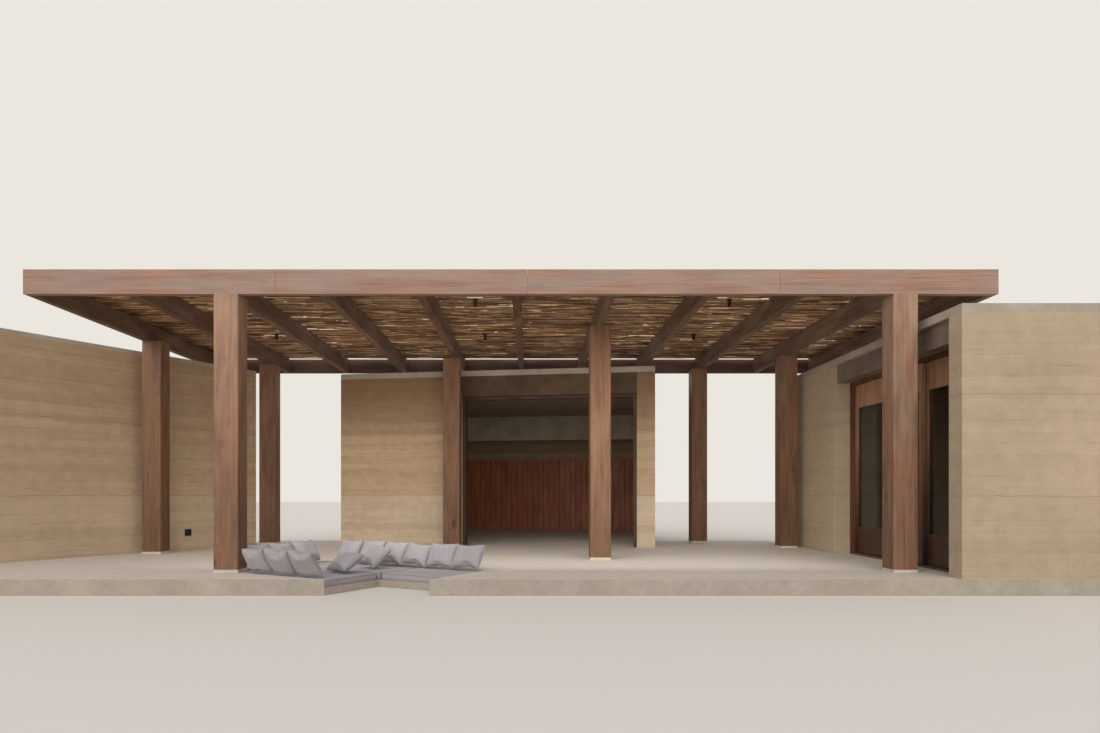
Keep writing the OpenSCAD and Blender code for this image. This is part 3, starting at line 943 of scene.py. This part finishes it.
@dataclass
class Upholstery:
    """How a sewn cover fills out: a cloth simulation with air pressure in it and no gravity."""

    # Air pressure in the cover, how many frames it works for, and how far it may move a point
    pressure: float
    frames: int
    cap: float
    # The cloth's solver steps, its weight in kg and its stiffness
    steps: int = 6
    mass: float = 0.15
    stretch: float = 25
    shear: float = 12
    bend: float = 0.3

    def filled(self, name: str, points: list[Vector], faces: list) -> np.ndarray:
        """Fills a closed cover out, as far as the cap lets its points move.

        Args:
            name: A name for the trial piece.
            points: The cover's vertices.
            faces: Its faces.

        Returns:
            The filled cover's vertices, one to a row.
        """
        trial = mesh_piece(name, points, faces)
        before, after = np.empty(len(points) * 3), np.empty(len(points) * 3)
        trial.data.vertices.foreach_get("co", before)
        cloth = trial.modifiers.new("filling", "CLOTH")
        fabric = cloth.settings
        fabric.use_pressure = True
        fabric.uniform_pressure_force = self.pressure
        fabric.quality = self.steps
        fabric.mass = self.mass
        fabric.tension_stiffness = fabric.compression_stiffness = self.stretch
        fabric.shear_stiffness = self.shear
        fabric.bending_stiffness = self.bend
        fabric.effector_weights.gravity = 0
        cloth.collision_settings.use_collision = False
        cloth.point_cache.frame_start = 1
        cloth.point_cache.frame_end = self.frames
        scene = bpy.context.scene
        for step in range(1, self.frames + 1):
            scene.frame_set(step)
        held = trial.evaluated_get(bpy.context.evaluated_depsgraph_get()).to_mesh()
        held.vertices.foreach_get("co", after)
        moved = (after - before).reshape(-1, 3)
        far = np.linalg.norm(moved, axis=1, keepdims=True)
        moved *= self.cap / np.maximum(far, self.cap)
        bpy.data.objects.remove(trial)
        scene.frame_set(1)
        return before.reshape(-1, 3) + moved

    def finish(self, piece: bpy.types.Object, plain: str, fill: float) -> None:
        """Rounds and dresses a filled piece, and puts it in the plain one's place.

        Args:
            piece: The piece.
            plain: The CAD node that it replaces.
            fill: How full of stuffing it is; not used.
        """
        piece.data.shade_smooth()
        rounder = piece.modifiers.new("rounder", "SUBSURF")
        rounder.levels = rounder.render_levels = 1
        LINEN.dress(piece)
        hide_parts(plain)


def border(across: int, up: int) -> list[tuple[int, int]]:
    """Lists the places round a grid of cells, once round.

    Args:
        across: How many cells wide it is.
        up: How many cells high it is.

    Returns:
        The places in order, from the first corner.
    """
    there = [(i, 0) for i in range(across)] + [(across, j) for j in range(up)]
    return there + [(across - i, up) for i in range(across)] + [(0, up - j) for j in range(up)]


def seam_tube(line: list[Vector], radius: float, sides: int = 6) -> tuple[list, list]:
    """Makes a closed tube along a seam.

    Args:
        line: The seam's points, in order, without the first one again.
        radius: The tube's radius.
        sides: How many sides it has.

    Returns:
        Its vertices and its faces.
    """
    points, faces, count, upright = [], [], len(line), 0.1
    for i, at in enumerate(line):
        ahead = (line[(i + 1) % count] - line[i - 1]).normalized()
        side = ahead.cross(Vector((0, 0, 1)))
        side = side.normalized() if side.length > upright else ahead.cross(Vector((1, 0, 0))).normalized()
        up = side.cross(ahead)
        for k in range(sides):
            angle = math.tau * k / sides
            points.append(at + radius * (math.cos(angle) * side + math.sin(angle) * up))
    for i in range(count):
        for k in range(sides):
            j = (i + 1) % count
            a, b = i * sides + k, i * sides + (k + 1) % sides
            faces.append((a, b, j * sides + (k + 1) % sides, j * sides + k))
    return points, faces


@dataclass
class ScatterCushions:
    """Loose oblong cushions with knife edges, crowded along the pit, in place of the plain ones."""

    cells: int = 26
    sewn_over: float = 1.03
    belly: float = 46 * MM
    seam: float = 3.5 * MM
    kinds: int = 4
    # How far a cushion slumps, twists and leans, in degrees, and how much smaller it may be
    slump: float = 4.0
    twist: float = 7.0
    lean: float = 4.0
    smaller: float = 0.07
    # Crowded cushions press a little past the space that each has
    plump: float = 1.09
    thicker: float = 1.35
    fill: float = 0.7
    # A cover has a few dips, this far out at most, this deep and at least this share of it, and this narrow
    dips: int = 3
    dip_reach: float = 0.6
    dip_depth: float = 0.14
    dip_least: float = 0.4
    dip_narrow: float = 8
    seed: int = 23
    stuffing: Upholstery = field(default_factory=lambda: Upholstery(pressure=4.0, frames=18, cap=0.026))

    def cover(self, rng: random.Random, width: float, height: float) -> tuple[list, list, list]:
        """Makes a flat cover of two sheets sewn at the rim.

        Args:
            rng: The source of its unevenness.
            width: Its size along Y.
            height: Its size along Z.

        Returns:
            Its vertices, in the plane of Y and Z; its faces; and the rim's vertex numbers in order.
        """
        n = self.cells
        number, points, faces = {}, [], []
        far = self.dip_reach
        dips = [(rng.uniform(-far, far), rng.uniform(-far, far), rng.uniform(self.dip_least, 1.0))
                for _ in range(self.dips)]
        for sheet in (1, -1):
            for i in range(n + 1):
                for j in range(n + 1):
                    rim = i in (0, n) or j in (0, n)
                    key = (i, j, 0 if rim else sheet)
                    if key in number:
                        continue
                    u, v = 2 * i / n - 1, 2 * j / n - 1
                    swell = max(0.0, (1 - u**4) * (1 - v**4)) ** 0.5
                    for du, dv, deep in dips:
                        apart = (u - du) ** 2 + (v - dv) ** 2
                        swell *= 1 - self.dip_depth * deep * math.exp(-self.dip_narrow * apart)
                    number[key] = len(points)
                    across, up = u * width / 2, v * height / 2
                    points.append(Vector((0 if rim else sheet * self.belly * swell, across, up)))
            for i in range(n):
                for j in range(n):
                    corners = [(i, j), (i + 1, j), (i + 1, j + 1), (i, j + 1)]
                    if sheet < 0:
                        corners.reverse()
                    faces.append(tuple(number.get((a, b, sheet), number.get((a, b, 0))) for a, b in corners))
        return points, faces, [number[i, j, 0] for i, j in border(n, n)]

    def stuffed(self, rng: random.Random, sizes: tuple[float, float, float]) -> tuple[list, list]:
        """Fills one cover and gives it its seam.

        Args:
            rng: The source of its unevenness.
            sizes: Thickness, width and height of the space that it fills.

        Returns:
            The cushion's vertices, about its middle, and its faces.
        """
        thick, width, height = sizes
        points, faces, rim = self.cover(rng, width * self.sewn_over, height * self.sewn_over)
        shape = self.stuffing.filled("cushion_trial", points, faces)
        room = np.array([thick, width - 2 * self.seam, height - 2 * self.seam])
        middle = (shape.max(0) + shape.min(0)) / 2
        shape = (shape - middle) * (room / (shape.max(0) - shape.min(0)))
        points = [Vector(p) for p in shape]
        bead, around = seam_tube([points[v] for v in rim], self.seam)
        faces = faces + [tuple(len(points) + v for v in f) for f in around]
        return points + bead, faces

    def build(self) -> None:
        """Puts a cushion in each plain one's place."""
        rng = random.Random(self.seed)
        boxes = PlacedBox.all_in("pit_cushions")
        shapes = [self.stuffed(rng, boxes[0].sizes) for _ in range(self.kinds)]
        for i, box in enumerate(sorted(boxes, key=lambda b: (b.middle.y, b.middle.x))):
            points, faces = shapes[i % self.kinds]
            flip = Matrix.Rotation(math.pi * (i % 2), 4, "Z")
            flip @= Matrix.Rotation(math.pi * (i % 4 // 2), 4, "X")
            slump, twist, lean = (
                Matrix.Rotation(math.radians(rng.uniform(-most, most)), 4, axis)
                for most, axis in ((self.slump, "X"), (self.twist, "Z"), (self.lean, "Y")))
            fit = self.plump - rng.uniform(0, self.smaller)
            sink = Matrix.Translation((0, 0, (fit - 1) * box.sizes[2] / 2))
            size = Matrix.Diagonal((self.thicker, fit, fit, 1))
            place = box.matrix() @ sink @ twist @ lean @ slump @ flip @ size
            cushion = mesh_piece(f"loose_cushion_{i + 1}", [place @ p for p in points], faces)
            self.stuffing.finish(cushion, "pit_cushions", self.fill)
        log.info("%d loose cushions", len(boxes))


@dataclass
class SeatPads:
    """Boxed seat pads with piped edges on the pit's bench, in place of the plain ones."""

    cell: float = 34 * MM
    start_in: float = 7 * MM
    piping: float = 5 * MM
    fill: float = 0.85
    stuffing: Upholstery = field(default_factory=lambda: Upholstery(pressure=3.0, frames=16, cap=0.012))

    def cover(self, sizes: tuple[float, float, float]) -> tuple[list, list, list]:
        """Makes a boxed cover in cells.

        Args:
            sizes: Its thickness, depth and width.

        Returns:
            Its vertices about its middle, its faces, and the rim's vertex numbers on both faces.
        """
        counts = [max(2, round(s / self.cell)) for s in sizes]
        number, points, faces = {}, [], []

        def at(*place: int) -> int:
            """Gives the vertex at a place of the grid, and makes it at need.

            Args:
                place: How many cells along each side it is.

            Returns:
                The vertex's number.
            """
            if place not in number:
                number[place] = len(points)
                points.append(Vector([s * (c / n - 0.5) for s, c, n in zip(sizes, place, counts)]))
            return number[place]

        for axis in range(3):
            ways = (axis + 1) % 3, (axis + 2) % 3
            low, high = sorted(ways)
            for side, along, across in product((0, counts[axis]), range(counts[low]), range(counts[high])):
                quad = []
                for steps in ((0, 0), (1, 0), (1, 1), (0, 1)):
                    corner = [0, 0, 0]
                    corner[axis], corner[low], corner[high] = side, along, across
                    for way, step in zip(ways, steps):
                        corner[way] += step
                    quad.append(at(*corner))
                faces.append(tuple(quad if side else quad[::-1]))
        thick, deep, wide = counts
        return points, faces, [[number[i, j, k] for j, k in border(deep, wide)] for i in (0, thick)]

    def build(self) -> None:
        """Puts a pad in each plain one's place."""
        boxes = PlacedBox.all_in("pit_seat_pads")
        less = 2 * self.start_in
        for i, box in enumerate(boxes):
            points, faces, rims = self.cover(tuple(s - less for s in box.sizes))
            points = [Vector(p) for p in self.stuffing.filled("pad_trial", points, faces)]
            for rim in rims:
                bead, around = seam_tube([points[v] for v in rim], self.piping)
                faces = faces + [tuple(len(points) + v for v in f) for f in around]
                points = points + bead
            place = box.matrix()
            pad = mesh_piece(f"seat_pad_{i + 1}", [place @ p for p in points], faces)
            self.stuffing.finish(pad, "pit_seat_pads", self.fill)
        log.info("%d seat pads", len(boxes))


@dataclass
class Studio:
    """A pale floor and backdrop, a soft sky, one broad lamp from the garden side and a soft box inside."""

    floor_side: float = 160.0
    floor_colour: str = "#e4e0d8"
    floor_roughness: float = 0.95
    # The floor throws back only as much light as a garden's ground does
    bounce_colour: str = "#b3a48f"
    sky: str = "#f8f6fa"
    sky_level: float = 0.65
    backdrop: str = "#ebe7df"
    sun: str = "#fff6ec"
    sun_level: float = 1.8
    sun_spread: float = 80.0
    sun_height: float = 25.0
    sun_from: float = -14.0
    # The soft box stands behind the front posts, ends before the doors and lights the terrace and rooms
    box_watts: float = 56.0
    box_size: tuple[float, float] = (8.6, 1.8)
    box_tilt: float = 16.0
    box_behind_posts: float = 0.26
    # Its middle stands at this share of the posts' height
    box_at: float = 0.44

    def floor(self) -> None:
        """Lays a pale plain floor just under the house."""
        half, under = self.floor_side / 2, -2 * MM
        corners = [(-half, -half, under), (half, -half, under), (half, half, under), (-half, half, under)]
        data = bpy.data.meshes.new("studio_floor")
        data.from_pydata(corners, [], [(0, 1, 2, 3)])
        ground = put("studio_floor", data)
        paint = bpy.data.materials.new("studio_floor")
        paint.use_nodes = True
        tree = paint.node_tree
        tree.nodes.clear()
        path = add_node(tree, "LightPath").outputs
        shown = add_node(tree, "Mix", {
            0: path["Is Camera Ray"], MIX_A: srgb(self.bounce_colour), MIX_B: srgb(self.floor_colour)},
            data_type="RGBA")
        shader = add_node(tree, "BsdfPrincipled", {"Base Color": shown, "Roughness": self.floor_roughness})
        add_node(tree, "OutputMaterial", {"Surface": shader})
        data.materials.append(paint)

    def world(self) -> None:
        """Lights the house with a soft sky, and shows a pale backdrop to the camera and in glass."""
        world = bpy.data.worlds.new("studio_sky")
        bpy.context.scene.world = world
        world.use_nodes = True
        tree = world.node_tree
        tree.nodes.clear()
        path = add_node(tree, "LightPath").outputs
        seen = add_node(tree, "Math", (path["Is Camera Ray"], path["Is Glossy Ray"]), operation="ADD")
        seen = add_node(tree, "Math", (seen, path["Is Transmission Ray"]), operation="ADD", use_clamp=True)
        light = add_node(tree, "Background", {"Color": srgb(self.sky), "Strength": self.sky_level})
        shown = add_node(tree, "Background", {"Color": srgb(self.backdrop), "Strength": 1.0})
        both = add_node(tree, "MixShader", (seen, light, shown))
        add_node(tree, "OutputWorld", {"Surface": both})

    def lamp(self) -> None:
        """Adds the broad lamp, high on the garden side."""
        sun = bpy.data.lights.new("soft_sun", "SUN")
        sun.energy = self.sun_level
        sun.angle = math.radians(self.sun_spread)
        sun.color = srgb(self.sun)[:3]
        lamp = put("soft_sun", sun)
        lamp.rotation_euler = (math.radians(90 - self.sun_height), 0, math.radians(self.sun_from))

    def soft_box(self) -> None:
        """Stands a wide soft box behind the front posts, seen by no camera and in no glass."""
        panel = bpy.data.lights.new("terrace_soft_box", "AREA")
        panel.shape = "RECTANGLE"
        panel.size, panel.size_y = self.box_size
        panel.energy = self.box_watts
        panel.color = srgb(self.sun)[:3]
        lamp = put("terrace_soft_box", panel)
        low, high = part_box("post_front_left")
        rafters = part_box("rafters")
        lamp.location = ((rafters[0].x + rafters[1].x) / 2, high.y + self.box_behind_posts,
                         low.z + self.box_at * (rafters[0].z - low.z))
        lamp.rotation_euler = (math.radians(90 - self.box_tilt), 0, 0)
        lamp.visible_camera = lamp.visible_glossy = lamp.visible_transmission = False

    def build(self) -> None:
        """Builds the floor, the sky and the lamps."""
        self.floor()
        self.world()
        self.lamp()
        self.soft_box()


@dataclass
class GardenCamera:
    """A level camera in the garden, at a standing person's chest above the terrace, looking at the house."""

    # Where the lens stands from the low corner of the front left post
    right_of_post: float = 3.862
    before_post: float = 8.94
    above_terrace: float = 0.972
    # The frame's size and the pixels of the lens axis and focal length
    width_px: float = 1100
    height_px: float = 733
    axis_px: tuple[float, float] = (530, 493)
    focal_px: float = 733
    sensor_mm: float = 36

    def build(self) -> None:
        """Makes the camera and hands it to the scene."""
        data = bpy.data.cameras.new("garden_camera")
        data.sensor_width = self.sensor_mm
        data.lens = self.sensor_mm * self.focal_px / self.width_px
        data.shift_x = (self.width_px / 2 - self.axis_px[0]) / self.width_px
        data.shift_y = (self.axis_px[1] - self.height_px / 2) / self.width_px
        camera = put("garden_camera", data)
        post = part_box("post_front_left")[0]
        terrace_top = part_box("terrace")[1].z
        camera.location = (post.x + self.right_of_post, post.y - self.before_post,
                           terrace_top + self.above_terrace)
        camera.rotation_euler = (math.pi / 2, 0, 0)
        bpy.context.scene.camera = camera


def main() -> None:
    """Builds the studio and every part of the house."""
    logging.basicConfig(level=logging.INFO, format="%(name)s: %(message)s")
    bpy.context.scene.view_settings.view_transform = "Standard"
    GardenCamera().build()
    Studio().build()
    Carcass().build()
    CaneMat().build()
    BoardPanelling().build()
    ScatterCushions().build()
    SeatPads().build()


if __name__ == "__main__":
    main()
